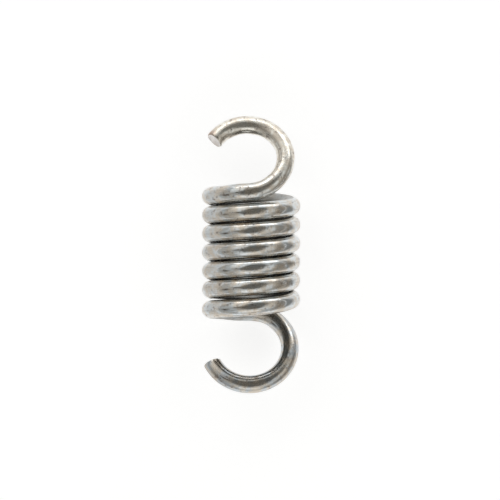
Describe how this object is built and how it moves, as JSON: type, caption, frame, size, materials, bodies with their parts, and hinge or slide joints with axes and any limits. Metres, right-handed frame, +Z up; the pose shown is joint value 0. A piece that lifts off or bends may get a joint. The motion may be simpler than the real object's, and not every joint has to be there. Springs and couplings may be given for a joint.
{
  "type": "extension spring",
  "caption": "Short close-wound extension spring of thick round steel wire, with a large open hook bent from the last turn at each end.",
  "frame": {"origin": "on the table, under the middle of the spring's bounding box, as the spring lies on its side", "axes": "+Y along the coil's axis, towards the upper hook in the picture; +X to the right in the picture, away from the open side of both hooks; +Z up from the table, towards the camera"},
  "size_m": [0.0088, 0.0248, 0.0088],
  "materials": {
    "spring_wire": "bright drawn steel wire, semi-gloss, with a faint warm tint"
  },
  "bodies": {
    "root": {"spring": "spring_wire"}
  },
  "joints": []
}
